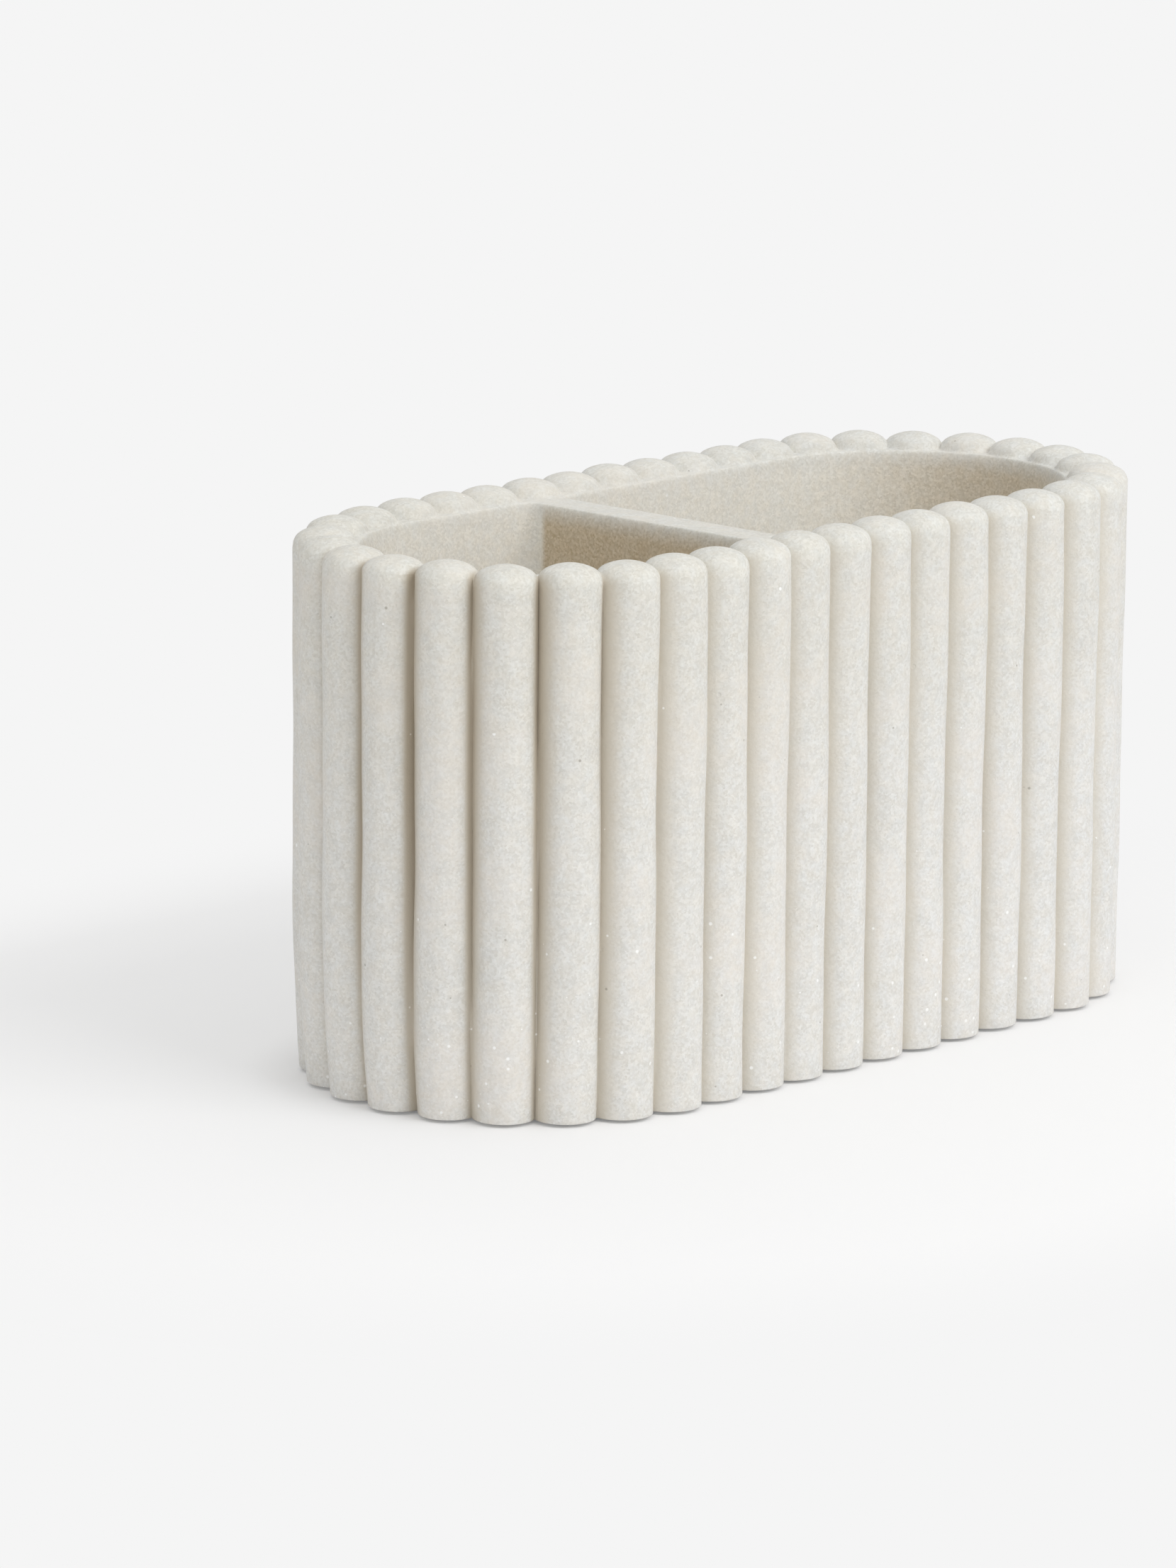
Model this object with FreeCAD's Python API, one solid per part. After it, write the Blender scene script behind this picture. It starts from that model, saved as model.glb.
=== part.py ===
import FreeCAD, Part
import math
import os

V = FreeCAD.Vector
UP = V(0, 0, 1)

# Overall sizes in millimetres, ribs and foot pads included
length = 158.0
depth = 71.0
height = 85.0

# Ribbed wall: upright half-round ribs with domed tops, set side by side round the racetrack
rib_pitch = 9.15
rib_lap = 0.32
crown_radius = 8.0
shoulder_round = 2.4
dome_rise = 2.6
rim_land = 1.3
rim_round = 1.2
base_edge = 0.4

# Inside: two compartments with a cast-in divider
floor_thickness = 7.0
divider_wall = 7.4
divider_x = -13.4
corner_round = 2.5
floor_round = 2.0

# Non-slip foot pads, seated in shallow recesses of the underside
pad_radius = 5.0
pad_thickness = 1.5
pad_recess = 1.0
pad_clearance = 0.15
pad_inset = 14.0
pad_edge = 0.25

# Largest distance at which two places count as the same
same = 1e-4

# Levels
base_z = pad_thickness - pad_recess
rim_z = height - dome_rise
floor_z = base_z + floor_thickness

# Racetrack line through the middles of the ribs
rib_radius = rib_pitch / 2 + rib_lap
straight = length - depth
line_radius = depth / 2 - rib_radius
half_line = straight + math.pi * line_radius
ribs_per_half = round(half_line / rib_pitch)
rib_step = half_line / ribs_per_half
cavity_radius = line_radius - rib_radius - rim_land


def racetrack(radius, z_low, z_high):
    """Upright prism with straight sides and half-round ends of the given radius."""
    half = straight / 2
    front = Part.makeLine(V(-half, -radius, z_low), V(half, -radius, z_low))
    right = Part.Arc(V(half, -radius, z_low), V(half + radius, 0, z_low), V(half, radius, z_low)).toShape()
    rear = Part.makeLine(V(half, radius, z_low), V(-half, radius, z_low))
    left = Part.Arc(V(-half, radius, z_low), V(-half - radius, 0, z_low), V(-half, -radius, z_low)).toShape()
    outline = Part.Face(Part.Wire([front, right, rear, left]))
    return outline.extrude(UP * (z_high - z_low))


def line_point(run):
    """Point on the first half of the rib line, at a run from the left end of the front straight."""
    if run <= straight:
        return V(run - straight / 2, -line_radius, 0)
    angle = (run - straight) / line_radius
    return V(straight / 2 + line_radius * math.sin(angle), -line_radius * math.cos(angle), 0)


def rib_places():
    """Middles of all ribs; the second half of the line is the first turned half a turn."""
    first = [line_point(index * rib_step) for index in range(ribs_per_half)]
    second = [V(-point.x, -point.y, 0) for point in first]
    return first + second


def edges_at(shape, level):
    """Edges that lie wholly at one height."""
    return [edge for edge in shape.Edges if all(abs(v.Z - level) < same for v in edge.Vertexes)]


def rib():
    """One round column on the axis, with a broken bottom edge, a rounded shoulder and a domed crown."""
    shoulder_x = rib_radius - shoulder_round
    crown_z = height - crown_radius
    lift = math.sqrt((crown_radius - shoulder_round) ** 2 - shoulder_x ** 2)
    turn = math.atan2(lift, shoulder_x)

    def on_shoulder(angle):
        x = shoulder_x + shoulder_round * math.cos(angle)
        return V(x, 0, crown_z + lift + shoulder_round * math.sin(angle))

    def on_crown(angle):
        return V(crown_radius * math.cos(angle), 0, crown_z + crown_radius * math.sin(angle))

    bottom = V(0, 0, base_z)
    heel = V(rib_radius - base_edge, 0, base_z)
    flank = V(rib_radius, 0, base_z + base_edge)
    top = V(0, 0, height)
    outline = [
        Part.makeLine(bottom, heel),
        Part.makeLine(heel, flank),
        Part.makeLine(flank, on_shoulder(0)),
        Part.Arc(on_shoulder(0), on_shoulder(turn / 2), on_shoulder(turn)).toShape(),
        Part.Arc(on_shoulder(turn), on_crown((turn + math.pi / 2) / 2), top).toShape(),
        Part.makeLine(top, bottom),
    ]
    return Part.Face(Part.Wire(outline)).revolve(V(0, 0, 0), UP, 360)


def upright_edges_at(shape, x):
    """Upright edges that stand on one cross plane of the racetrack."""
    return [edge for edge in shape.Edges if all(abs(v.X - x) < same for v in edge.Vertexes)
            and abs(edge.BoundBox.ZLength - edge.Length) < same]


def compartment(x_low, x_high, divider_face):
    """Room of one compartment: the inner racetrack up to the divider, with rounded corners and floor edge."""
    inner = racetrack(cavity_radius, floor_z, height)
    slab = Part.makeBox(x_high - x_low, depth, height, V(x_low, -depth / 2, 0))
    room = inner.common(slab)
    room = room.makeFillet(corner_round, upright_edges_at(room, divider_face))
    return room.makeFillet(floor_round, edges_at(room, floor_z))


def cup():
    """Smooth inner cup: wall, floor and divider in one, with rounded mouths."""
    left_face = divider_x - divider_wall / 2
    right_face = divider_x + divider_wall / 2
    rooms = [
        compartment(-length / 2, left_face, left_face),
        compartment(right_face, length / 2, right_face),
    ]
    block = racetrack(line_radius, base_z, rim_z).cut(rooms)
    reach_x = straight / 2 + cavity_radius + same
    reach_y = cavity_radius + same
    mouths = [edge for edge in edges_at(block, rim_z)
              if max(abs(v.X) for v in edge.Vertexes) < reach_x
              and max(abs(v.Y) for v in edge.Vertexes) < reach_y]
    return block.makeFillet(rim_round, mouths)


def pad_places():
    """Foot pads under the four ends of the straight sides."""
    x = straight / 2
    y = depth / 2 - pad_inset
    return {
        "foot_pad_front_left": V(-x, -y, 0),
        "foot_pad_front_right": V(x, -y, 0),
        "foot_pad_rear_left": V(-x, y, 0),
        "foot_pad_rear_right": V(x, y, 0),
    }


def foot_pad(place):
    """Round pad with a softened bottom edge."""
    disc = Part.makeCylinder(pad_radius, pad_thickness, place)
    return disc.makeChamfer(pad_edge, edges_at(disc, 0))


def holder_body():
    """The whole casting: cup, ribs all round and pad recesses underneath."""
    column = rib()
    ribs = []
    for place in rib_places():
        one = column.copy()
        one.translate(place)
        ribs.append(one)
    recesses = [Part.makeCylinder(pad_radius + pad_clearance, pad_recess, place + UP * base_z)
                for place in pad_places().values()]
    return cup().fuse(ribs).cut(recesses).removeSplitter()


def write(name, shape):
    """Write one piece, after making sure that it is a single sound solid."""
    solid = shape.Solids[0]
    if len(shape.Solids) != 1 or not solid.isValid():
        raise ValueError(name + " is not one sound solid")
    solid.exportStep("parts/" + name + ".step")


os.makedirs("parts", exist_ok=True)
write("holder_body", holder_body())
for pad_name, pad_place in pad_places().items():
    write(pad_name, foot_pad(pad_place))
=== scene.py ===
"""Stone-effect toothbrush holder: the ribbed casting, its foot pads, a plain studio and the camera."""
import logging
import math
from dataclasses import dataclass, field
from enum import Enum

import bmesh
import bpy
import numpy as np
from mathutils import Matrix, Vector


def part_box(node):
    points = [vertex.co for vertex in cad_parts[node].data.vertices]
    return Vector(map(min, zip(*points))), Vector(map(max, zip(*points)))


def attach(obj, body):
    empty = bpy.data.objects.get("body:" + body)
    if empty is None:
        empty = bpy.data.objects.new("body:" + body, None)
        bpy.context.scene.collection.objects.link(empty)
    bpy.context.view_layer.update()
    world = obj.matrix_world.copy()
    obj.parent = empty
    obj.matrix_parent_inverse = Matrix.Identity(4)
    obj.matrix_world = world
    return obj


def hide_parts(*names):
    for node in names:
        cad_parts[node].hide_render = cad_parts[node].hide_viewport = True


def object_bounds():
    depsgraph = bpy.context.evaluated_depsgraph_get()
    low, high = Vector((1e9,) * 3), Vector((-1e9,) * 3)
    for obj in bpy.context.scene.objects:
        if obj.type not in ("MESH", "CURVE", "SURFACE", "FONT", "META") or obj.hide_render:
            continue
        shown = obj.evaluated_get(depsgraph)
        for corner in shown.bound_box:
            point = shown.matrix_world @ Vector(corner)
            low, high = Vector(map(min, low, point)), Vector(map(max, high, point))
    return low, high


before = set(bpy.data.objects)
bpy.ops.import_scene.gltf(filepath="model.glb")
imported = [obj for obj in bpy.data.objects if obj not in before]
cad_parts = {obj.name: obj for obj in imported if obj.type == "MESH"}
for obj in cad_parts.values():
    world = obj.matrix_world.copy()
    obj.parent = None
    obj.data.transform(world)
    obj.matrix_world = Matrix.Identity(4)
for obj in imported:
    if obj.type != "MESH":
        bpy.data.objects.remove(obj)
CAD_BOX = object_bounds()

MM = 0.001
LOG = logging.getLogger("holder")
Colour = tuple[float, float, float]
Socket = bpy.types.NodeSocket
Input = Socket | float | tuple[float, ...]
Inputs = dict[str | int, Input]


def smooth_max(a: np.ndarray, b: np.ndarray, reach: float) -> np.ndarray:
    """The larger of two arrays, rounded over where they come within reach of each other."""
    near = np.clip(reach - np.abs(a - b), 0.0, None)
    return np.maximum(a, b) + near * near / (4.0 * reach)


def quarter(steps: int) -> tuple[np.ndarray, np.ndarray]:
    """Sines and cosines of a quarter turn in even steps, both ends included."""
    angle = np.linspace(0.0, math.pi / 2, steps)
    return np.sin(angle), np.cos(angle)


class Sheets:
    """Point grids gathered into one mesh. Every grid closes on itself along its first axis."""

    def __init__(self, *masks: str) -> None:
        """Start empty, with the names of the masks that the points will carry."""
        self.points: list[np.ndarray] = []
        self.faces: list[np.ndarray] = []
        self.masks: dict[str, list[np.ndarray]] = {name: [] for name in masks}
        self.count = 0

    def add(self, grid: np.ndarray, **masks: np.ndarray) -> None:
        """Add one grid.

        Args:
            grid: Points, columns by rows by three; the last column joins the first.
            masks: Values from 0 to 1 by the mask's name, in any shape that spreads over the grid. A mask
                that isn't named is 0.
        """
        columns, rows = grid.shape[:2]
        index = self.count + np.arange(columns * rows).reshape(columns, rows)
        after = np.roll(index, -1, axis=0)
        quads = np.stack([index[:, :-1], after[:, :-1], after[:, 1:], index[:, 1:]], axis=-1)
        self.points.append(grid.reshape(-1, 3))
        self.faces.append(quads.reshape(-1, 4))
        for name, values in self.masks.items():
            values.append(np.broadcast_to(masks.get(name, 0.0), (columns, rows)).reshape(-1))
        self.count += columns * rows

    def mesh(self, name: str) -> bpy.types.Mesh:
        """Write all grids to a new mesh.

        Args:
            name: The mesh's name.

        Returns:
            The mesh, whose grids aren't joined yet, with every mask as a point attribute.
        """
        points = np.concatenate(self.points).astype(np.float32)
        faces = np.concatenate(self.faces).astype(np.int32)
        mesh = bpy.data.meshes.new(name)
        mesh.vertices.add(len(points))
        mesh.vertices.foreach_set("co", points.ravel())
        mesh.loops.add(faces.size)
        mesh.loops.foreach_set("vertex_index", faces.ravel())
        mesh.polygons.add(len(faces))
        mesh.polygons.foreach_set("loop_start", np.arange(0, faces.size, 4, dtype=np.int32))
        mesh.update(calc_edges=True)
        for mask, values in self.masks.items():
            layer = mesh.attributes.new(mask, "FLOAT", "POINT")
            layer.data.foreach_set("value", np.concatenate(values).astype(np.float32))
        return mesh


@dataclass(frozen=True)
class RibLine:
    """The racetrack line through the middles of the ribs, run from the left end of the front straight."""

    straight: float
    radius: float
    ribs: int

    @property
    def half(self) -> float:
        """Run of half the line: one straight and one round end."""
        return self.straight + math.pi * self.radius

    @property
    def step(self) -> float:
        """Run from one rib to the next."""
        return 2.0 * self.half / self.ribs

    def at(self, run: np.ndarray) -> tuple[np.ndarray, np.ndarray]:
        """Points and outward normals of the line in plan.

        The first half is the front straight, where x is the run less half the straight, and then the right
        end, a half circle. The second half is the first turned half a turn.

        Args:
            run: Runs along the line.

        Returns:
            Points and unit normals, each of the runs' shape with a last axis of two.
        """
        run = np.mod(run, 2.0 * self.half)
        sign = np.where(run >= self.half, -1.0, 1.0)[..., None]
        run = np.mod(run, self.half)
        angle = np.clip(run - self.straight, 0.0, None) / self.radius
        normal = np.stack([np.sin(angle), -np.cos(angle)], axis=-1)
        middle = np.stack([np.minimum(run, self.straight) - self.straight / 2, np.zeros_like(run)], axis=-1)
        return sign * (middle + self.radius * normal), sign * normal


class Draw(Enum):
    """The streams of random numbers, one for each way in which the ribs differ."""

    SWELL = 1
    RADIUS = 2
    SWAY = 3
    PLACE = 4
    HEIGHT = 5


@dataclass(frozen=True)
class HandCast:
    """Small unevenness of a casting from a hand-made mould: every rib differs a little."""

    ribs: int
    seed: int = 7
    radius_spread: float = 0.07 * MM
    place_spread: float = 0.16 * MM
    height_spread: float = 0.25 * MM
    swell: float = 0.06 * MM
    swell_length: float = 46.0 * MM
    short_swell: float = 0.6
    short_swell_rate: float = 2.3
    sway: float = 0.12 * MM
    sway_length: float = 73.6 * MM
    tuck_depth: float = 1.5 * MM
    tuck_reach: float = 30.0 * MM

    def draw(self, stream: Draw, *shape: int) -> np.ndarray:
        """Even random numbers from -1 to 1, the same on every run."""
        return np.random.default_rng(self.seed + stream.value).uniform(-1.0, 1.0, shape)

    def radius(self, rib: np.ndarray, z: np.ndarray) -> np.ndarray:
        """Change of a rib's radius.

        It is the rib's own share and two slow sines of the height, a long and a short one, with the rib's
        own phases.

        Args:
            rib: Numbers of the ribs.
            z: Heights, in a shape that goes with the ribs'.

        Returns:
            The change at each rib and height.
        """
        phase = math.pi * self.draw(Draw.SWELL, 2, self.ribs)[:, rib]
        turn = 2.0 * math.pi * z / self.swell_length
        waves = np.sin(turn + phase[0]) + self.short_swell * np.sin(self.short_swell_rate * turn + phase[1])
        return self.radius_spread * self.draw(Draw.RADIUS, self.ribs)[rib] + self.swell * waves

    def shift(self, rib: np.ndarray, z: np.ndarray) -> np.ndarray:
        """Sideways move of a rib: its own share and a slow sine of the height with the rib's own phase.

        Args:
            rib: Numbers of the ribs.
            z: Heights, in a shape that goes with the ribs'.

        Returns:
            The move at each rib and height, along the rib line.
        """
        phase = math.pi * self.draw(Draw.SWAY, self.ribs)[rib]
        turn = 2.0 * math.pi * z / self.sway_length
        return self.place_spread * self.draw(Draw.PLACE, self.ribs)[rib] + self.sway * np.sin(turn + phase)

    def tuck(self, normal: np.ndarray, z: np.ndarray) -> np.ndarray:
        """Inward tuck of the left end's foot: a square law of height, by how far the normal looks left."""
        low = np.clip(1.0 - z / self.tuck_reach, 0.0, 1.0) ** 2
        return self.tuck_depth * np.clip(-normal[:, :1], 0.0, 1.0) * low

    def height(self, rib: np.ndarray) -> np.ndarray:
        """Change of a rib's height, downwards only, so that no rib stands over the full height."""
        return -self.height_spread * (0.5 + 0.5 * self.draw(Draw.HEIGHT, self.ribs)[rib])


class Room(Enum):
    """The two compartments, by the side of the divider they lie on."""

    SMALL = -1
    LARGE = 1


@dataclass(frozen=True)
class Ramp:
    """A smooth change from start to end while a value goes from low to high."""

    low: float
    high: float
    start: float = 0.0
    end: float = 1.0


class Canvas:
    """A node tree that is filled one line per node."""

    def __init__(self, tree: bpy.types.NodeTree) -> None:
        """Take over a tree and empty it."""
        self.tree = tree
        self.tree.nodes.clear()

    def add(self, kind: str, inputs: Inputs | None = None, **settings: object) -> bpy.types.Node:
        """Add a node.

        Args:
            kind: The node's type without its prefix, such as TexNoise; group ends keep their full name.
            inputs: Constants or output sockets by input name or number; a constant colour has three numbers.
            settings: Node properties by name.

        Returns:
            The new node.
        """
        node = self.tree.nodes.new(kind if kind.startswith("Node") else "ShaderNode" + kind)
        for name, value in settings.items():
            setattr(node, name, value)
        for key, value in (inputs or {}).items():
            socket = node.inputs[key]
            if isinstance(value, Socket):
                self.tree.links.new(value, socket)
            else:
                socket.default_value = (*value, 1.0) if socket.type == "RGBA" else value
        return node

    def mask(self, name: str) -> Socket:
        """The value of a point attribute."""
        return self.add("Attribute", attribute_name=name).outputs["Fac"]

    def math(self, operation: str, a: Input, b: Input = 0.0) -> Socket:
        """One arithmetic step on sockets or numbers."""
        return self.add("Math", {0: a, 1: b}, operation=operation).outputs[0]

    def total(self, base: float, *terms: tuple[Socket, float]) -> Input:
        """Sum of a base and of values, each times its own weight.

        Args:
            base: The number to start from.
            terms: Pairs of a value and its weight.

        Returns:
            The sum.
        """
        result = base
        for value, weight in terms:
            result = self.math("ADD", result, self.math("MULTIPLY", value, weight))
        return result

    def mix(self, factor: Input, a: Input, b: Input, blend: str = "MIX") -> Socket:
        """Blend of two colours."""
        return self.add("Mix", {0: factor, 6: a, 7: b}, data_type="RGBA", blend_type=blend).outputs[2]

    def rise(self, value: Input, ramp: Ramp, unit: float = 1.0) -> Socket:
        """A ramp over a value, with the ramp's low and high given in a unit.

        Args:
            value: The value.
            ramp: The change.
            unit: What one of the ramp's low and high stands for.

        Returns:
            The changed value.
        """
        inputs = {"Value": value, "From Min": ramp.low * unit, "From Max": ramp.high * unit,
                  "To Min": ramp.start, "To Max": ramp.end}
        return self.add("MapRange", inputs, interpolation_type="SMOOTHSTEP").outputs["Result"]


@dataclass(frozen=True)
class Noise:
    """Cloudy noise with lumps of about the given size in metres, spread to run from 0 to 1."""

    size: float
    detail: float
    roughness: float = 0.55
    spread: Ramp = Ramp(0.3, 0.7)

    def value(self, canvas: Canvas, vector: Socket) -> Socket:
        """The noise at a place.

        Args:
            canvas: The tree to add to.
            vector: The place.

        Returns:
            The noise from 0 to 1.
        """
        inputs = {"Vector": vector, "Scale": 1.0 / self.size, "Detail": self.detail,
                  "Roughness": self.roughness}
        return canvas.rise(canvas.add("TexNoise", inputs).outputs["Fac"], self.spread)


@dataclass(frozen=True)
class Grain:
    """Sizes of the sandy grain that both finishes share."""

    clouds: Noise = Noise(17.0 * MM, 3.0)
    mottle: Noise = Noise(2.4 * MM, 3.0)
    hue: Noise = Noise(1.9 * MM, 4.0)
    hue_aside: tuple[float, float, float] = (0.31, 0.17, 0.43)
    dust: Noise = Noise(0.5 * MM, 2.0)
    dust_share: float = 0.25
    sand_size: float = 0.34 * MM
    sand_share: float = 0.75

    def fill(self, tree: bpy.types.NodeTree) -> None:
        """Masks from 0 to 1: cloudy noise, finer mottle, patches of hue, and sand.

        Every grain of the sand has a tone of its own, the red of its cell's random colour, with dust over it.

        Args:
            tree: The empty tree to fill.
        """
        tree.interface.new_socket("Vector", in_out="INPUT", socket_type="NodeSocketVector")
        for name in ("Clouds", "Mottle", "Hue", "Sand"):
            tree.interface.new_socket(name, in_out="OUTPUT", socket_type="NodeSocketFloat")
        canvas = Canvas(tree)
        vector = canvas.add("NodeGroupInput").outputs["Vector"]
        aside = canvas.add("VectorMath", {0: vector, 1: self.hue_aside}, operation="ADD").outputs[0]
        grains = canvas.add("TexVoronoi", {"Vector": vector, "Scale": 1.0 / self.sand_size}).outputs["Color"]
        tone = canvas.add("SeparateColor", {"Color": grains}).outputs["Red"]
        masks = {
            "Clouds": self.clouds.value(canvas, vector),
            "Mottle": self.mottle.value(canvas, vector),
            "Hue": self.hue.value(canvas, aside),
            "Sand": canvas.total(0.0, (tone, self.sand_share),
                                 (self.dust.value(canvas, vector), self.dust_share)),
        }
        canvas.add("NodeGroupOutput", masks)


@dataclass(frozen=True)
class Flecks:
    """Form of the scattered flecks: the least share of the full radius and the soft edge."""

    least: float = 0.35
    edge: Ramp = Ramp(0.0, 0.5)

    def fill(self, tree: bpy.types.NodeTree) -> None:
        """Round flecks, at most one in each cell of a loose lattice.

        A cell has a fleck when its own random number is under Share. The fleck's edge lies where the distance
        from the cell's point, in cells, reaches Radius times the sum of the least share and another random
        number of the cell.

        Args:
            tree: The empty tree to fill.
        """
        tree.interface.new_socket("Vector", in_out="INPUT", socket_type="NodeSocketVector")
        for name in ("Cells", "Share", "Radius"):
            tree.interface.new_socket(name, in_out="INPUT", socket_type="NodeSocketFloat")
        tree.interface.new_socket("Mask", in_out="OUTPUT", socket_type="NodeSocketFloat")
        canvas = Canvas(tree)
        given = canvas.add("NodeGroupInput").outputs
        cells = canvas.add("TexVoronoi", {"Vector": given["Vector"], "Scale": given["Cells"]})
        chance = canvas.add("SeparateColor", {"Color": cells.outputs["Color"]})
        chosen = canvas.math("LESS_THAN", chance.outputs["Red"], given["Share"])
        grown = canvas.math("ADD", chance.outputs["Green"], self.least)
        radius = canvas.math("MULTIPLY", given["Radius"], grown)
        depth = canvas.math("SUBTRACT", 1.0, canvas.math("DIVIDE", cells.outputs["Distance"], radius))
        mask = canvas.math("MULTIPLY", chosen, canvas.rise(depth, self.edge))
        canvas.add("NodeGroupOutput", {"Mask": mask})


class Group(Enum):
    """Shader node groups that several materials or places use, by the name of their tree."""

    GRAIN = "sandy_grain"
    FLECKS = "scattered_flecks"

    def tree(self) -> bpy.types.NodeTree:
        """The group's node tree, made on first use.

        Returns:
            The tree.
        """
        found = bpy.data.node_groups.get(self.value)
        if found:
            return found
        tree = bpy.data.node_groups.new(self.value, "ShaderNodeTree")
        maker = Grain() if self is Group.GRAIN else Flecks()
        maker.fill(tree)
        return tree

    def use(self, canvas: Canvas, inputs: Inputs) -> bpy.types.Node:
        """One use of the group."""
        return canvas.add("Group", inputs, node_tree=self.tree())


@dataclass(frozen=True)
class Scatter:
    """How flecks of one kind are strewn: a cell's size, the radius in cells and the share of cells used."""

    cell: float
    radius: float
    share: float = 1.0

    def mask(self, canvas: Canvas, place: Socket, share: Socket | None = None) -> Socket:
        """Mask of the flecks; where a socket for the share is given, it stands in for the even share.

        Args:
            canvas: The tree to add to.
            place: Where the flecks are looked up.
            share: A share of cells that changes from place to place, instead of the even one.

        Returns:
            The mask, 1 on a fleck.
        """
        inputs = {"Vector": place, "Cells": 1.0 / self.cell, "Radius": self.radius,
                  "Share": self.share if share is None else share}
        return Group.FLECKS.use(canvas, inputs).outputs["Mask"]


@dataclass(frozen=True)
class StoneFinish:
    """Cast stone-effect resin: pale warm sandy body with dark specks, bright flecks and small pits.

    Tints are factors on the colours. Ramps over the casting are in shares of its height, or of how far its
    left end is out; ramps over a mask or a pattern are in its own values. Several colours paint shade or light:
    tan and darker grooves, brown divider and end walls, a warmer inside, side tints, a darker top, a lighter
    foot.
    """

    pale: Colour = (0.815, 0.808, 0.786)
    warm: Colour = (0.625, 0.607, 0.567)
    peach: Colour = (0.76, 0.71, 0.655)
    # Painted shade: tan in the grooves.
    groove_shade_colour: Colour = (0.70, 0.655, 0.57)
    # Painted shade: the grooves of the left end, darker.
    left_shade_colour: Colour = (0.43, 0.365, 0.27)
    # The compartments' tone: warmer than outside, partly painted shade.
    inner: Colour = (0.83, 0.81, 0.75)
    # Painted shade: brown on the divider and the compartments' end walls.
    core: Colour = (0.60, 0.503, 0.365)
    speck: Colour = (0.20, 0.17, 0.13)
    glint: Colour = (0.96, 0.96, 0.95)
    cool_tint: Colour = (0.991, 1.002, 1.016)
    rosy_tint: Colour = (1.009, 0.998, 0.979)
    # Painted shade and light: warmer towards the left end, cooler towards the right.
    left_shade_tint: Colour = (0.985, 0.984, 0.974)
    right_lit_tint: Colour = (0.997, 1.003, 1.012)
    # Painted shade: darker and warmer high on the ribs, less dark and yellower on the crowns.
    upper_shade_tint: Colour = (0.955, 0.95, 0.93)
    crown_shade_tint: Colour = (0.985, 0.985, 0.957)
    # Painted light: the foot a little lighter.
    foot_light_tint: Colour = (1.035, 1.035, 1.04)
    mottle_share: float = 0.20
    sand_share: float = 0.70
    clouds_share: float = 0.10
    blush: Ramp = Ramp(0.45, 1.0, 0.0, 0.30)
    # Ramp of the painted side tints, from the left end to the right.
    end_to_end: Ramp = Ramp(1.0, -1.0)
    # Ramps of the painted top shade.
    upper: Ramp = Ramp(0.45, 0.88)
    crown: Ramp = Ramp(0.93, 0.98)
    # Ramp of the painted light at the foot.
    foot: Ramp = Ramp(0.02, 0.45, 1.0, 0.0)
    # Painted shade: ramp of the tan over the groove mask.
    groove_shade_ramp: Ramp = Ramp(0.5, 1.0, 0.0, 0.85)
    # Ramps of the painted shade at the left end: along the casting, in the grooves and by height.
    left_shade_end: Ramp = Ramp(0.5, 0.95)
    left_shade_groove: Ramp = Ramp(0.35, 1.0, 0.0, 0.8)
    left_shade_level: Ramp = Ramp(0.05, 0.7, 0.45, 1.0)
    room_grain: float = 0.085
    # A little more grain where the painted brown shade lies.
    core_grain: float = 0.02
    specks: Scatter = Scatter(4.2 * MM, 0.055, 0.45)
    speck_strength: float = 0.5
    room_speck_strength: float = 0.4
    glints: Scatter = Scatter(1.6 * MM, 0.17)
    glint_level: Ramp = Ramp(0.05, 0.50, 1.0, 0.06)
    glint_clouds: Ramp = Ramp(0.2, 0.9, 0.15, 0.6)
    glint_strength: float = 0.8
    glint_gloss: float = 0.3
    pits: Scatter = Scatter(6.5 * MM, 0.06, 0.25)
    pit_depth: float = 1.6
    roughness: float = 0.55
    sand_roughness: float = 0.1
    specular: float = 0.35
    mottle_relief: float = 0.7
    sand_relief: float = 1.0
    relief: float = 0.10 * MM
    relief_strength: float = 0.5

    def material(self, height: float, left: float) -> bpy.types.Material:
        """Make the material.

        Args:
            height: The casting's full height.
            left: Where the casting's left end is.

        Returns:
            The material, whose patterns lie in object coordinates.
        """
        material = bpy.data.materials.new("stone_resin")
        material.use_nodes = True
        canvas = Canvas(material.node_tree)
        place = canvas.add("TexCoord").outputs["Object"]
        grain = Group.GRAIN.use(canvas, {"Vector": place}).outputs
        across, _, level = canvas.add("SeparateXYZ", {"Vector": place}).outputs
        inside = canvas.mask("inside")
        hue = canvas.mix(grain["Hue"], self.cool_tint, self.rosy_tint)
        colour = canvas.mix(1.0, self._body(canvas, grain), hue, "MULTIPLY")
        # Painted shade and light: warmer to the left end, cooler to the right.
        side_shade_tint = canvas.mix(canvas.rise(across, self.end_to_end, left), self.left_shade_tint, self.right_lit_tint)
        colour = canvas.mix(1.0, colour, side_shade_tint, "MULTIPLY")
        # Painted shade: the upper ribs darker and warmer, the crowns less so.
        painted_top_shade = canvas.mix(canvas.rise(level, self.crown, height), self.upper_shade_tint, self.crown_shade_tint)
        colour = canvas.mix(canvas.rise(level, self.upper, height), colour, painted_top_shade, "MULTIPLY")
        # Painted light: lighter towards the foot.
        colour = canvas.mix(canvas.rise(level, self.foot, height), colour, self.foot_light_tint, "MULTIPLY")
        # Painted shade: the grooves of the left end darker, more so higher up.
        end = canvas.rise(across, self.left_shade_end, left)
        left_shade = canvas.math("MULTIPLY", end, canvas.rise(level, self.left_shade_level, height))
        colour = self._groove_shades(canvas, colour, left_shade)
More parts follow.
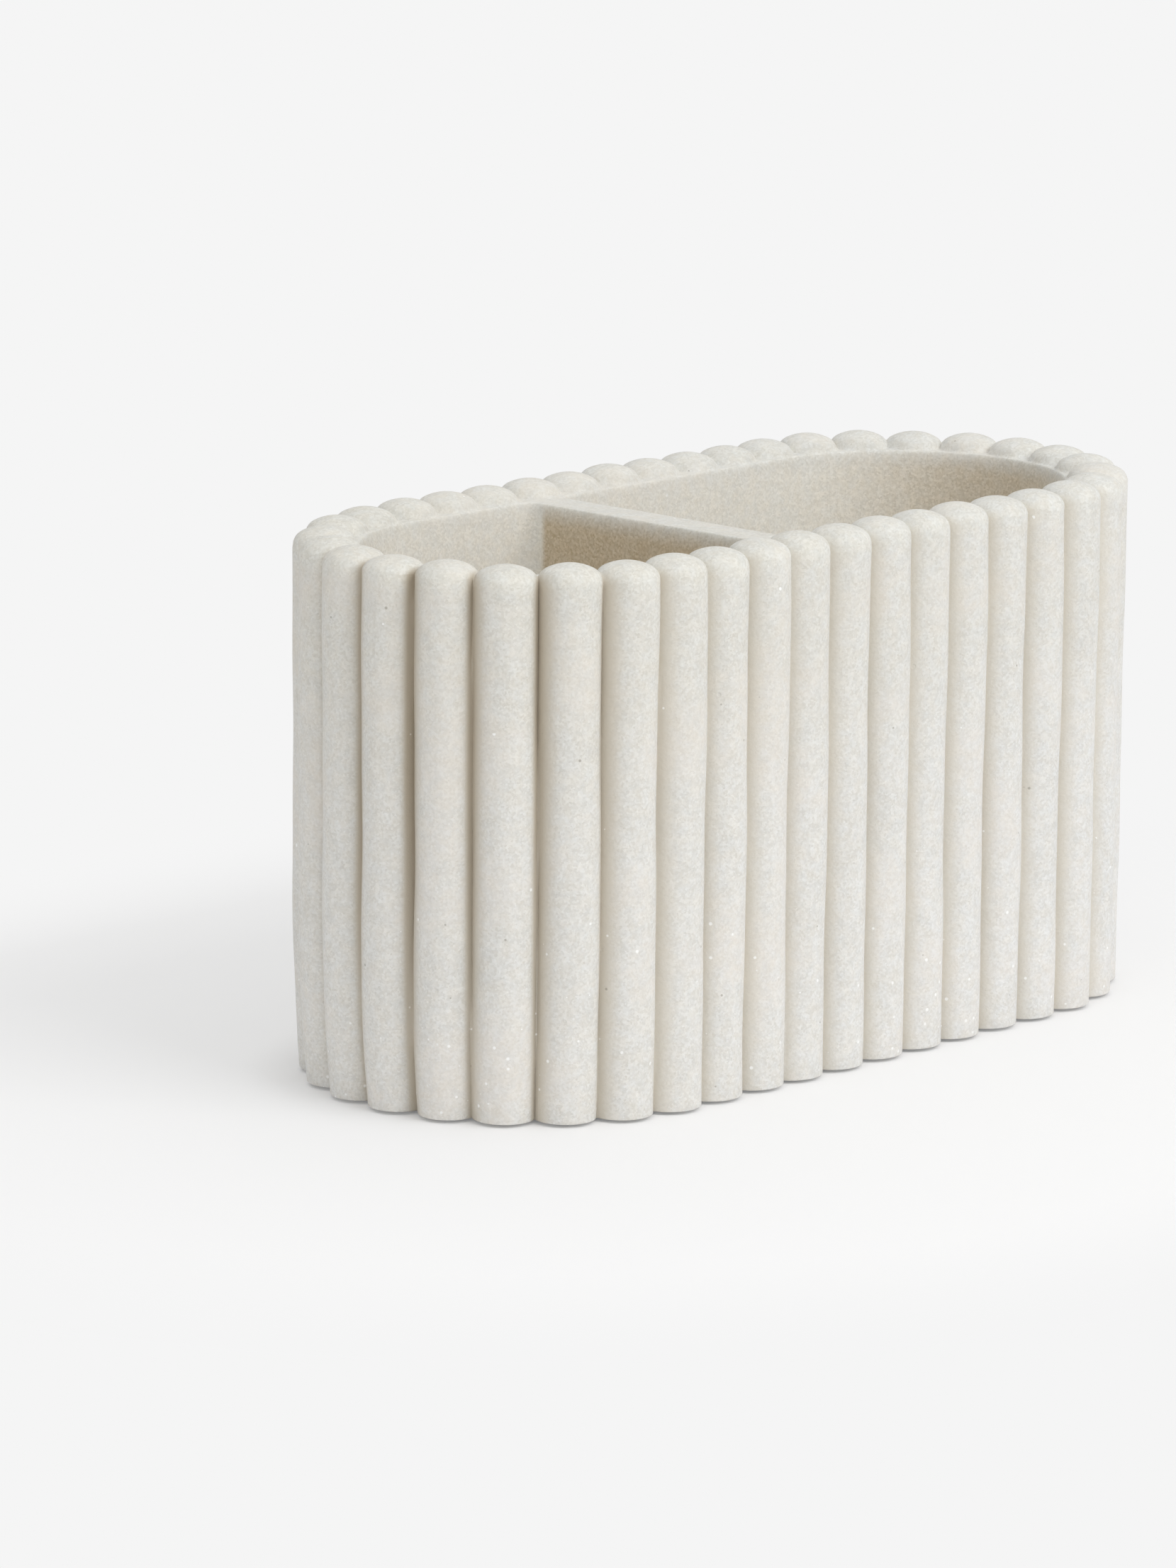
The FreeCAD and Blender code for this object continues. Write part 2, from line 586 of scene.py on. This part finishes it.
        # Inside the compartments: a warmer tone, partly painted shade, with the painted brown shade on it.
        room = canvas.mix(1.0, self._room(canvas, grain["Sand"]), hue, "MULTIPLY")
        colour = canvas.mix(inside, colour, room)
        strength = canvas.total(self.speck_strength, (inside, self.room_speck_strength))
        specks = canvas.math("MULTIPLY", self.specks.mask(canvas, place), strength)
        colour = canvas.mix(specks, colour, self.speck)
        gathered = canvas.math("MULTIPLY", canvas.rise(level, self.glint_level, height),
                               canvas.rise(grain["Clouds"], self.glint_clouds))
        glints = self.glints.mask(canvas, place, gathered)
        colour = canvas.mix(canvas.math("MULTIPLY", glints, self.glint_strength), colour, self.glint)
        rough = canvas.total(self.roughness, (grain["Sand"], self.sand_roughness),
                             (glints, -self.glint_gloss))
        relief = canvas.total(0.0, (grain["Mottle"], self.mottle_relief), (grain["Sand"], self.sand_relief),
                              (self.pits.mask(canvas, place), -self.pit_depth))
        bump = canvas.add("Bump", {"Height": relief, "Strength": self.relief_strength,
                                   "Distance": self.relief})
        shader = canvas.add("BsdfPrincipled", {"Base Color": colour, "Roughness": rough,
                                               "Normal": bump.outputs[0],
                                               "Specular IOR Level": self.specular})
        canvas.add("OutputMaterial", {"Surface": shader.outputs[0]})
        return material

    def _body(self, canvas: Canvas, grain: bpy.types.NodeOutputs) -> Socket:
        """Colour of the bare stone: warm to pale by the grain, with a blush on the clouds.

        Args:
            canvas: The tree to add to.
            grain: Outputs of the grain group.

        Returns:
            The colour.
        """
        tone = canvas.total(0.0, (grain["Mottle"], self.mottle_share), (grain["Sand"], self.sand_share),
                            (grain["Clouds"], self.clouds_share))
        colour = canvas.mix(tone, self.warm, self.pale)
        return canvas.mix(canvas.rise(grain["Clouds"], self.blush), colour, self.peach)

    def _groove_shades(self, canvas: Canvas, colour: Socket, left_shade: Socket) -> Socket:
        """The colour with painted shade in the grooves, tan, and darker where the left end's painted shade
        lies.

        Args:
            canvas: The tree to add to.
            colour: The colour without grooves.
            left_shade: Mask of the painted shade at the left end.

        Returns:
            The colour with grooves.
        """
        # Painted shade: tan deep in the grooves.
        groove = canvas.mask("groove")
        colour = canvas.mix(canvas.rise(groove, self.groove_shade_ramp), colour, self.groove_shade_colour)
        # Painted shade: darker grooves at the left end.
        left_shade = canvas.math("MULTIPLY", left_shade, canvas.rise(groove, self.left_shade_groove))
        return canvas.mix(left_shade, colour, self.left_shade_colour)

    def _room(self, canvas: Canvas, sand: Socket) -> Socket:
        """Colour inside the compartments: warmer, partly as painted shade, and browner with painted shade on
        the divider and end walls, with a fine grain of the same hue.

        Args:
            canvas: The tree to add to.
            sand: The grain's sand.

        Returns:
            The colour.
        """
        # Painted shade: browner on the divider and end walls.
        core = canvas.mask("core")
        strength = canvas.total(self.room_grain, (core, self.core_grain))
        return canvas.mix(strength, canvas.mix(core, self.inner, self.core), sand, "LINEAR_LIGHT")


@dataclass(frozen=True)
class RubberFinish:
    """Foamed non-slip rubber of the foot pads: dark, matte and finely pored."""

    light: Colour = (0.20, 0.19, 0.178)
    dark: Colour = (0.12, 0.112, 0.104)
    pores: Scatter = Scatter(0.8 * MM, 0.3, 0.6)
    pore_strength: float = 0.5
    roughness: float = 0.78
    sand_roughness: float = 0.12
    relief: float = 0.08 * MM
    relief_strength: float = 0.6

    def material(self) -> bpy.types.Material:
        """Make the material, whose patterns lie in object coordinates.

        Returns:
            The material.
        """
        material = bpy.data.materials.new("foot_rubber")
        material.use_nodes = True
        canvas = Canvas(material.node_tree)
        place = canvas.add("TexCoord").outputs["Object"]
        grain = Group.GRAIN.use(canvas, {"Vector": place}).outputs
        pores = self.pores.mask(canvas, place)
        colour = canvas.mix(grain["Mottle"], self.dark, self.light)
        colour = canvas.mix(canvas.math("MULTIPLY", pores, self.pore_strength), colour, self.dark)
        rough = canvas.total(self.roughness, (grain["Sand"], self.sand_roughness))
        relief = canvas.math("SUBTRACT", grain["Sand"], pores)
        bump = canvas.add("Bump", {"Height": relief, "Strength": self.relief_strength,
                                   "Distance": self.relief})
        shader = canvas.add("BsdfPrincipled", {"Base Color": colour, "Roughness": rough,
                                               "Normal": bump.outputs[0]})
        canvas.add("OutputMaterial", {"Surface": shader.outputs[0]})
        return material


@dataclass
class Casting:
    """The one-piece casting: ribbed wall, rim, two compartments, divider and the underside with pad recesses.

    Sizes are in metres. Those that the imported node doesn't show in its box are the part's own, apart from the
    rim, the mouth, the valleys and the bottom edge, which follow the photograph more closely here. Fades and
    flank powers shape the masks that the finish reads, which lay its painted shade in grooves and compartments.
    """

    node: str
    pads: list[str]
    finish: StoneFinish = field(default_factory=StoneFinish)
    plan_length: float = 158.0 * MM
    rib_pitch: float = 9.15 * MM
    rib_lap: float = 0.32 * MM
    valley_round: float = 0.35 * MM
    crown_radius: float = 8.0 * MM
    shoulder_round: float = 2.4 * MM
    shoulder_gap: float = 0.8 * MM
    dome_rise: float = 2.6 * MM
    dome_fall: float = 8.0
    dome_foot_gap: float = 0.25 * MM
    rim_land: float = 0.7 * MM
    rim_round: float = 0.6 * MM
    rim_drop: float = 3.2 * MM
    rim_blend: float = 0.8 * MM
    base_edge: float = 0.25 * MM
    floor_thickness: float = 7.0 * MM
    floor_round: float = 2.0 * MM
    divider_wall: float = 7.4 * MM
    divider_x: float = -13.4 * MM
    corner_round: float = 2.5 * MM
    recess_gap: float = 0.15 * MM
    # Painted shade: the groove mask spreads wide on the left flanks and narrow on the right.
    shaded_flank_power: float = 0.4
    lit_flank_power: float = 1.6
    inside_fade: float = 3.0 * MM
    # Painted brown shade: its share on the end walls, and how it grows with height over the floor.
    end_core: float = 0.74
    core_fade: float = 30.0 * MM
    rib_columns: int = 20
    edge_rows: int = 4
    wall_rows: int = 26
    dome_rows: int = 27
    divider_columns: int = 44
    round_rows: int = 9
    room_rows: int = 14
    floor_rings: tuple[float, ...] = (0.3, 0.65, 1.0)
    recess_columns: int = 48
    join_reach: float = 0.002 * MM
    sharp_degrees: float = 50.0

    def __post_init__(self) -> None:
        """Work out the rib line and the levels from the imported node's box."""
        low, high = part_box(self.node)
        self.base = low[2]
        self.top = high[2]
        self.land = self.top - self.dome_rise
        self.floor = self.base + self.floor_thickness
        depth = high[1] - low[1]
        self.rib_radius = self.rib_pitch / 2 + self.rib_lap
        self.inset = self.rib_radius + self.rim_land
        self.shoulder = float(self.dome(np.array([self.rib_radius]))[0])
        line_radius = depth / 2 - self.rib_radius
        straight = self.plan_length - depth
        ribs = 2 * round((straight + math.pi * line_radius) / self.rib_pitch)
        self.line = RibLine(straight, line_radius, ribs)
        self.uneven = HandCast(ribs)

    def columns(self) -> np.ndarray:
        """Places of the grid columns, in ribs: even in angle round each rib, so the valleys get their share.

        From a rib's crest to the valley the place grows with the sine of an even angle; the other half is its
        mirror.

        Returns:
            The places, from the first rib round to just before it.
        """
        share = np.arange(self.rib_columns) / self.rib_columns
        rise = 1.0 - np.abs(2.0 * share - 1.0)
        widest = math.asin(self.line.step / 2 / self.rib_radius)
        half = 0.5 * np.sin(widest * rise) / math.sin(widest)
        inside = np.where(share <= 0.5, half, 1.0 - half)
        return (np.arange(self.line.ribs)[:, None] + inside).ravel()

    def dome(self, reach: np.ndarray) -> np.ndarray:
        """Height of a rib's top: a crown sphere, then a rounded shoulder, then a steep straight fall.

        Args:
            reach: Distances from the rib's axis.

        Returns:
            The height at each distance.
        """
        shoulder_x = self.rib_radius - self.shoulder_round
        lift = math.sqrt((self.crown_radius - self.shoulder_round) ** 2 - shoulder_x ** 2)
        meet = self.crown_radius * math.cos(math.atan2(lift, shoulder_x))
        crown_z = self.top - self.crown_radius
        crown = crown_z + np.sqrt(np.clip(self.crown_radius ** 2 - reach ** 2, 0.0, None))
        shoulder = np.sqrt(np.clip(self.shoulder_round ** 2 - (reach - shoulder_x) ** 2, 0.0, None))
        fall = self.dome_fall * np.clip(reach - self.rib_radius, 0.0, None)
        return np.where(reach < meet, crown, crown_z + lift + shoulder - fall)

    def cover(self, plan: np.ndarray, z: np.ndarray | float) -> np.ndarray:
        """Raise heights to the domes that stand there.

        The dome's height is that of the nearest rib, rounded where it meets the next nearest one, and it
        flows into the given height over the rim blend.

        Args:
            plan: Plan points, with a last axis of two.
            z: Heights of the surface that carries the domes.

        Returns:
            The heights with the domes on.
        """
        rib = np.arange(self.line.ribs)
        middle, normal = self.line.at(rib * self.line.step)
        tangent = np.stack([-normal[:, 1], normal[:, 0]], axis=-1)
        middle = middle + tangent * self.uneven.shift(rib, np.full(len(rib), self.shoulder))[:, None]
        reach = np.linalg.norm(plan[..., None, :] - middle, axis=-1)
        tops = np.sort(self.dome(reach) + self.uneven.height(rib), axis=-1)
        domes = smooth_max(tops[..., -1], tops[..., -2], self.valley_round)
        return np.minimum(smooth_max(domes, np.broadcast_to(z, domes.shape), self.rim_blend), self.top)

    def shell(self) -> tuple[np.ndarray, np.ndarray]:
        """The ribbed outside, from the underside's edge up over the domes to their inner foot.

        Every column stands on the rib line and looks along the line's normal. Of the two ribs beside it, each
        is met where the normal leaves the rib's circle, and the farther point is kept, rounded in the valley.
        Over the top, the column runs from the outer point to the inner foot, spaced by a cosine, at the
        height of the domes.

        Returns:
            The grid and the groove mask of its points, which lays the painted groove shade.
        """
        place = self.columns()
        point, normal = self.line.at(place * self.line.step)
        tangent = np.stack([-normal[:, 1], normal[:, 0]], axis=-1)
        before = np.floor(place).astype(int)
        ribs = [before % self.line.ribs, (before + 1) % self.line.ribs]
        gaps = [self.line.at(rib * self.line.step)[0] - point for rib in ribs]

        def face(z: np.ndarray) -> np.ndarray:
            """Outer offsets of the columns at heights z.

            Args:
                z: The heights.

            Returns:
                Offsets, columns by heights.
            """
            offsets = []
            for rib, gap in zip(ribs, gaps):
                radius = self.rib_radius + self.uneven.radius(rib[:, None], z)
                across = np.sum(gap * tangent, axis=-1)[:, None] + self.uneven.shift(rib[:, None], z)
                square = radius ** 2 - across ** 2
                out = np.sign(square) * np.sqrt(np.abs(square))
                offsets.append(np.sum(gap * normal, axis=-1)[:, None] + out)
            return smooth_max(*offsets, self.valley_round) - self.uneven.tuck(normal, z)

        sine, cosine = quarter(self.edge_rows)
        edge_z = self.base + self.base_edge * (1.0 - cosine)
        wall_top = self.shoulder - self.shoulder_gap
        wall_z = np.linspace(self.base + self.base_edge, wall_top, self.wall_rows)[1:]
        foot = face(edge_z) - self.base_edge * (1.0 - sine)
        wall = face(wall_z)
        outer = face(np.array([self.shoulder]))
        inner = self.dome_foot_gap - (self.inset - self.rim_round)
        crown = (outer + inner) / 2 + (outer - inner) / 2 * np.cos(np.linspace(0.0, math.pi, self.dome_rows))
        offset = np.concatenate([foot, wall, crown], axis=1)
        plan = point[:, None] + normal[:, None] * offset[..., None]
        # Inside the rib line the domes run into the land; outside it nothing lies near them.
        below = np.where(crown < 0.0, self.land, self.base)
        z = np.concatenate([np.broadcast_to(edge_z, foot.shape), np.broadcast_to(wall_z, wall.shape),
                            self.cover(plan[:, -self.dome_rows:], below)], axis=1)
        over_top = np.linspace(1.0, 0.0, self.dome_rows)
        fade = np.concatenate([np.ones(offset.shape[1] - self.dome_rows), over_top])
        # The flat underside hangs on the first row and has no painted groove shade.
        fade[0] = 0.0
        return np.concatenate([plan, z[..., None]], axis=-1), self.groove(place, outer) * fade

    def groove(self, place: np.ndarray, outer: np.ndarray) -> np.ndarray:
        """How deep in a groove the columns lie: the mask of the painted groove shade.

        It is the share of the way from a rib's crest in to the valley, raised to a power: a low one, which
        makes the mask, and the painted shade it carries, wide on the left flank of every rib as seen from
        outside, and a high one on the right.

        Args:
            place: Places of the columns, in ribs.
            outer: Outer offsets of the columns at the shoulder, with a last axis of one.

        Returns:
            The mask from 0 to 1, with a last axis of one.
        """
        valley = math.sqrt(self.rib_radius ** 2 - (self.line.step / 2) ** 2)
        depth = np.clip((self.rib_radius - outer) / (self.rib_radius - valley), 0.0, 1.0)
        return depth ** np.where(place % 1.0 > 0.5, self.shaded_flank_power, self.lit_flank_power)[:, None]

    def room(self, room: Room, rim: np.ndarray) -> tuple[np.ndarray, np.ndarray, np.ndarray]:
        """One compartment with its share of the rim and of the divider's top.

        The outermost loop is the domes' inner foot from the divider round to the divider, and the divider's
        middle line back. All further loops are the compartment's outline, a D with rounded corners, moved out
        for the rounded mouth and in for the rounded floor edge. Shell columns beside the divider go to the
        rounded corners. The small room is the large one's rule in a frame turned half a turn.

        Args:
            room: Which compartment.
            rim: Points of the domes' inner foot, one for each shell column.

        Returns:
            The compartment's grid, how far inside its points lie, and their share of the painted brown shade.
        """
        side = room.value
        run = self.columns() * self.line.step
        turned = np.array([side, side, 1.0])
        rim = np.roll(rim, 0 if room is Room.LARGE else -len(rim) // 2, axis=0) * turned
        divider = side * self.divider_x + self.line.straight / 2
        start = divider + self.divider_wall / 2 + self.corner_round
        back = self.line.half + self.line.straight
        first = int(np.argmin(np.abs(run - divider)))
        last = int(np.argmin(np.abs(run - back + divider)))
        edge, run = rim[first:last + 1], run[first:last + 1]
        point, normal = self.line.at(run)
        fore_turn = np.linspace(0.0, math.pi / 2, np.sum(run < start) + 1)[:-1]
        back_turn = np.linspace(math.pi / 2, 0.0, np.sum(run > back - start) + 1)[1:]
        on_wall = (run >= start) & (run <= back - start)
        share = np.linspace(0.0, 1.0, self.divider_columns + 1)[1:-1, None]
        corner = np.array([start - self.line.straight / 2, self.line.radius - self.inset - self.corner_round])

        def loop(grow: float) -> np.ndarray:
            """The compartment's outline in plan, moved outwards.

            Args:
                grow: How far out.

            Returns:
                Plan points round the outline.
            """
            wall = (point - normal * (self.inset - grow))[on_wall]
            reach = self.corner_round + grow
            fore = corner * (1, -1) - reach * np.stack([np.cos(fore_turn), np.sin(fore_turn)], axis=-1)
            rear = corner - reach * np.stack([np.cos(back_turn), -np.sin(back_turn)], axis=-1)
            return np.concatenate([fore, wall, rear, rear[-1] + share * (fore[0] - rear[-1])])

        turns = list(zip(*quarter(self.round_rows)))
        mouth = [(self.rim_round * (1.0 - s), self.land - self.rim_drop * (1.0 - c)) for s, c in turns]
        walls = np.linspace(self.land - self.rim_drop, self.floor + self.floor_round, self.room_rows)[1:-1]
        heel = [(-self.floor_round * (1.0 - c), self.floor + self.floor_round * (1.0 - s)) for s, c in turns]
        top = np.concatenate([edge[:, :2], edge[-1, :2] + share * (edge[0, :2] - edge[-1, :2])])
        loops = [top] + [loop(grow) for grow, _ in mouth]
        rows = [np.column_stack([plan, self.cover(plan * turned[:2], z)])
                for plan, z in zip(loops, [self.land] + [z for _, z in mouth])]
        rows[0][:len(edge), 2] = edge[:, 2]
        lower = [(0.0, z) for z in walls] + heel
        rows += [np.column_stack([loop(grow), np.full(len(top), z)]) for grow, z in lower]
        rim_of_floor = rows[-1]
        middle = rim_of_floor.mean(axis=0)
        rows += [rim_of_floor + part * (middle - rim_of_floor) for part in self.floor_rings]
        grid = np.stack(rows, axis=1)
        inside = np.clip((self.land - grid[..., 2]) / self.inside_fade, 0.0, 1.0)
        # Painted shade: brown on the end walls by how far they turn along x, and on the divider; more so higher
        # up.
        core = np.concatenate([self.end_core * np.clip(normal[:, 0], 0.0, None) ** 2, np.ones(len(share))])
        above = np.clip((grid[..., 2] - self.floor) / self.core_fade, 0.0, 1.0)
        return grid * turned, inside, core[:, None] * above

    def recess(self, pad: str) -> np.ndarray:
        """Blind round recess of the underside round one foot pad: its wall and its ceiling.

        Args:
            pad: The pad's name.

        Returns:
            The grid, from the underside up to the middle of the ceiling.
        """
        low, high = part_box(pad)
        angle = np.linspace(0.0, 2.0 * math.pi, self.recess_columns, endpoint=False)
        ring = np.stack([np.cos(angle), np.sin(angle)], axis=-1)
        middle = np.array([(low[0] + high[0]) / 2, (low[1] + high[1]) / 2])
        radius = (high[0] - low[0]) / 2 + self.recess_gap
        steps = ((radius, self.base), (radius, high[2]), (radius / 2, high[2]), (0.0, high[2]))
        rows = [np.column_stack([middle + reach * ring, np.full(len(ring), z)]) for reach, z in steps]
        return np.stack(rows, axis=1)

    def build(self) -> bpy.types.Object:
        """Build the casting as one closed mesh that stands for its CAD node.

        Returns:
            The piece.
        """
        sheets = Sheets("groove", "inside", "core")
        shell, groove = self.shell()
        sheets.add(shell, groove=groove)
        for room in Room:
            grid, inside, core = self.room(room, shell[:, -1])
            sheets.add(grid, inside=inside, core=core)
        for pad in self.pads:
            sheets.add(self.recess(pad))
        mesh = sheets.mesh("stone_casting")
        self._close(mesh)
        piece = bpy.data.objects.new("stone_casting", mesh)
        bpy.context.scene.collection.objects.link(piece)
        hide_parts(self.node)
        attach(piece, "root")
        self.dress(piece)
        return piece

    def _close(self, mesh: bpy.types.Mesh) -> None:
        """Join the grids, fill the flat underside round the recesses and turn all faces outwards.

        Args:
            mesh: The casting's mesh, changed in place.
        """
        work = bmesh.new()
        work.from_mesh(mesh)
        bmesh.ops.remove_doubles(work, verts=work.verts, dist=self.join_reach)
        open_edges = [edge for edge in work.edges if edge.is_boundary]
        for face in work.faces:
            face.smooth = True
        down = (0.0, 0.0, -1.0)
        filled = bmesh.ops.triangle_fill(work, edges=open_edges, use_beauty=True, normal=down)
        for face in (item for item in filled["geom"] if isinstance(item, bmesh.types.BMFace)):
            face.smooth = False
        bmesh.ops.recalc_face_normals(work, faces=work.faces)
        work.to_mesh(mesh)
        work.free()
        mesh.set_sharp_from_angle(angle=math.radians(self.sharp_degrees))

    def dress(self, piece: bpy.types.Object) -> None:
        """Give the casting its stone finish."""
        piece.data.materials.append(self.finish.material(self.top, -self.plan_length / 2))


@dataclass
class FootPads:
    """The four pads under the casting, which keep their CAD shape."""

    names: list[str]
    finish: RubberFinish = field(default_factory=RubberFinish)

    def dress(self) -> None:
        """Give every pad the rubber finish."""
        material = self.finish.material()
        for name in self.names:
            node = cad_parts[name]
            node.data.materials.clear()
            node.data.materials.append(material)


@dataclass(frozen=True)
class Lamp:
    """A square soft box that faces the object's middle, with its place in degrees and metres."""

    name: str
    azimuth: float
    elevation: float
    distance: float
    size: float
    power: float

    def build(self) -> None:
        """Hang the lamp; azimuth 0 is in front of the long side and a negative one to the right of that."""
        az, el = math.radians(self.azimuth), math.radians(self.elevation)
        away = Vector((-math.sin(az) * math.cos(el), -math.cos(az) * math.cos(el), math.sin(el)))
        light = bpy.data.lights.new(self.name, "AREA")
        light.size = self.size
        light.energy = self.power
        holder = bpy.data.objects.new(self.name, light)
        bpy.context.scene.collection.objects.link(holder)
        holder.location = away * self.distance + Vector((0.0, 0.0, (CAD_BOX[0][2] + CAD_BOX[1][2]) / 2))
        holder.rotation_euler = (-away).to_track_quat("-Z", "Y").to_euler()


@dataclass
class Studio:
    """Pale floor, even white surroundings and soft lamps."""

    white: float = 0.913
    floor_size: float = 5.0
    floor_tone: float = 0.91
    floor_roughness: float = 0.9
    floor_specular: float = 0.1
    lift: float = 0.38
    least_lift: float = 0.18
    contact: float = 9.0 * MM
    fade_near: float = 45.0 * MM
    fade_far: float = 120.0 * MM
    horizon: float = 0.50
    zenith: float = 1.0
    dim_side: tuple[float, float] = (-0.8, 0.6)
    dim_edge: Ramp = Ramp(0.1, 0.9, 1.0, 0.75)
    lamps: tuple[Lamp, ...] = (
        Lamp("key", azimuth=-7.0, elevation=40.0, distance=1.2, size=0.8, power=5.65),
        Lamp("fill", azimuth=80.0, elevation=8.0, distance=1.2, size=0.8, power=1.4),
    )

    def build(self) -> None:
        """Lay the floor, set the world and hang the lamps."""
        self._floor()
        self._world()
        for lamp in self.lamps:
            lamp.build()

    def _floor(self) -> None:
        """A flat floor that keeps the object's soft shadow and is plain white to the camera farther out."""
        reach = self.floor_size
        corners = [(-reach, -reach, 0), (reach, -reach, 0), (reach, reach, 0), (-reach, reach, 0)]
        mesh = bpy.data.meshes.new("floor")
        mesh.from_pydata(corners, [], [(0, 1, 2, 3)])
        floor = bpy.data.objects.new("floor", mesh)
        bpy.context.scene.collection.objects.link(floor)
        material = bpy.data.materials.new("studio_floor")
        material.use_nodes = True
        canvas = Canvas(material.node_tree)
        away = self._away(canvas)
        lift = canvas.rise(away, Ramp(0.0, self.contact, self.least_lift, self.lift))
        fade = canvas.rise(away, Ramp(self.fade_near, self.fade_far))
        seen = canvas.add("LightPath").outputs["Is Camera Ray"]
        share = canvas.math("MULTIPLY", canvas.math("MAXIMUM", lift, fade), seen)
        matte = canvas.add("BsdfPrincipled", {"Base Color": (self.floor_tone,) * 3,
                                              "Roughness": self.floor_roughness,
                                              "Specular IOR Level": self.floor_specular})
        plain = canvas.add("Emission", {"Color": (self.white,) * 3, "Strength": 1.0})
        mixed = canvas.add("MixShader", {0: share, 1: matte.outputs[0], 2: plain.outputs[0]})
        canvas.add("OutputMaterial", {"Surface": mixed.outputs[0]})
        mesh.materials.append(material)

    @staticmethod
    def _away(canvas: Canvas) -> Socket:
        """Distance on the floor from the object's racetrack footprint.

        Args:
            canvas: The tree to add to.

        Returns:
            The distance, below 0 under the object.
        """
        low, high = CAD_BOX
        depth = high[1] - low[1]
        half_straight = (high[0] - low[0] - depth) / 2
        place = canvas.add("SeparateXYZ", {"Vector": canvas.add("TexCoord").outputs["Object"]}).outputs
        beyond = canvas.math("SUBTRACT", canvas.math("ABSOLUTE", place["X"]), half_straight)
        beyond = canvas.math("MAXIMUM", beyond, 0.0)
        gap = canvas.add("CombineXYZ", {"X": beyond, "Y": place["Y"]}).outputs[0]
        reach = canvas.add("VectorMath", {0: gap}, operation="LENGTH").outputs["Value"]
        return canvas.math("SUBTRACT", reach, depth / 2)

    def _world(self) -> None:
        """White to the camera; to all else a soft light that grows from the horizon up and has a dim side."""
        world = bpy.data.worlds.new("studio")
        world.use_nodes = True
        bpy.context.scene.world = world
        canvas = Canvas(world.node_tree)
        direction = canvas.add("TexCoord").outputs["Generated"]
        up = canvas.add("SeparateXYZ", {"Vector": direction}).outputs["Z"]
        sky = canvas.add("MapRange", {"Value": up, "To Min": self.horizon, "To Max": self.zenith})
        toward = canvas.add("VectorMath", {0: direction, 1: (*self.dim_side, 0.0)}, operation="DOT_PRODUCT")
        dimmed = canvas.rise(toward.outputs["Value"], self.dim_edge)
        strength = canvas.math("MULTIPLY", sky.outputs[0], dimmed)
        seen = canvas.add("LightPath").outputs["Is Camera Ray"]
        light = canvas.add("Background", {"Color": (1.0, 1.0, 1.0), "Strength": strength})
        plain = canvas.add("Background", {"Color": (1.0, 1.0, 1.0), "Strength": self.white})
        mixed = canvas.add("MixShader", {0: seen, 1: light.outputs[0], 2: plain.outputs[0]})
        canvas.add("OutputWorld", {"Surface": mixed.outputs[0]})


@dataclass(frozen=True)
class PhotoCamera:
    """The camera at the photograph's place. Angles are in degrees and sizes in metres, the sensor's in mm."""

    azimuth: float = 46.54
    elevation: float = 12.12
    roll: float = 0.50
    distance: float = 1.146
    target: tuple[float, float, float] = (-0.0072, 0.0213, 0.0365)
    lens_per_width: float = 6.163
    sensor_mm: float = 36.0
    nearest: float = 0.01

    def build(self) -> None:
        """Place the camera and make it the scene's own."""
        az, el, roll = (math.radians(a) for a in (self.azimuth, self.elevation, self.roll))
        ahead = Vector((math.sin(az) * math.cos(el), math.cos(az) * math.cos(el), -math.sin(el)))
        level = Vector((math.cos(az), -math.sin(az), 0.0))
        upward = level.cross(ahead)
        right = math.cos(roll) * level + math.sin(roll) * upward
        up = math.cos(roll) * upward - math.sin(roll) * level
        camera = bpy.data.cameras.new("photo_camera")
        camera.sensor_fit = "HORIZONTAL"
        camera.sensor_width = self.sensor_mm
        camera.lens = self.lens_per_width * self.sensor_mm
        camera.clip_start = self.nearest
        holder = bpy.data.objects.new("photo_camera", camera)
        bpy.context.scene.collection.objects.link(holder)
        turn = Matrix((right, up, -ahead)).transposed().to_4x4()
        holder.matrix_world = Matrix.Translation(Vector(self.target) - ahead * self.distance) @ turn
        bpy.context.scene.camera = holder


def main() -> None:
    """Build every piece, dress it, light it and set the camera."""
    view = bpy.context.scene.view_settings
    view.view_transform = "Standard"
    pads = sorted(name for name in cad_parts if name.startswith("foot_pad"))
    casting = Casting("holder_body", pads).build()
    LOG.info("casting: %d points, %d faces", len(casting.data.vertices), len(casting.data.polygons))
    FootPads(pads).dress()
    for pad in pads:
        LOG.info("%s: CAD shape in rubber", pad)
    Studio().build()
    PhotoCamera().build()


if __name__ == "__main__":
    logging.basicConfig(level=logging.INFO, format="%(message)s")
    main()
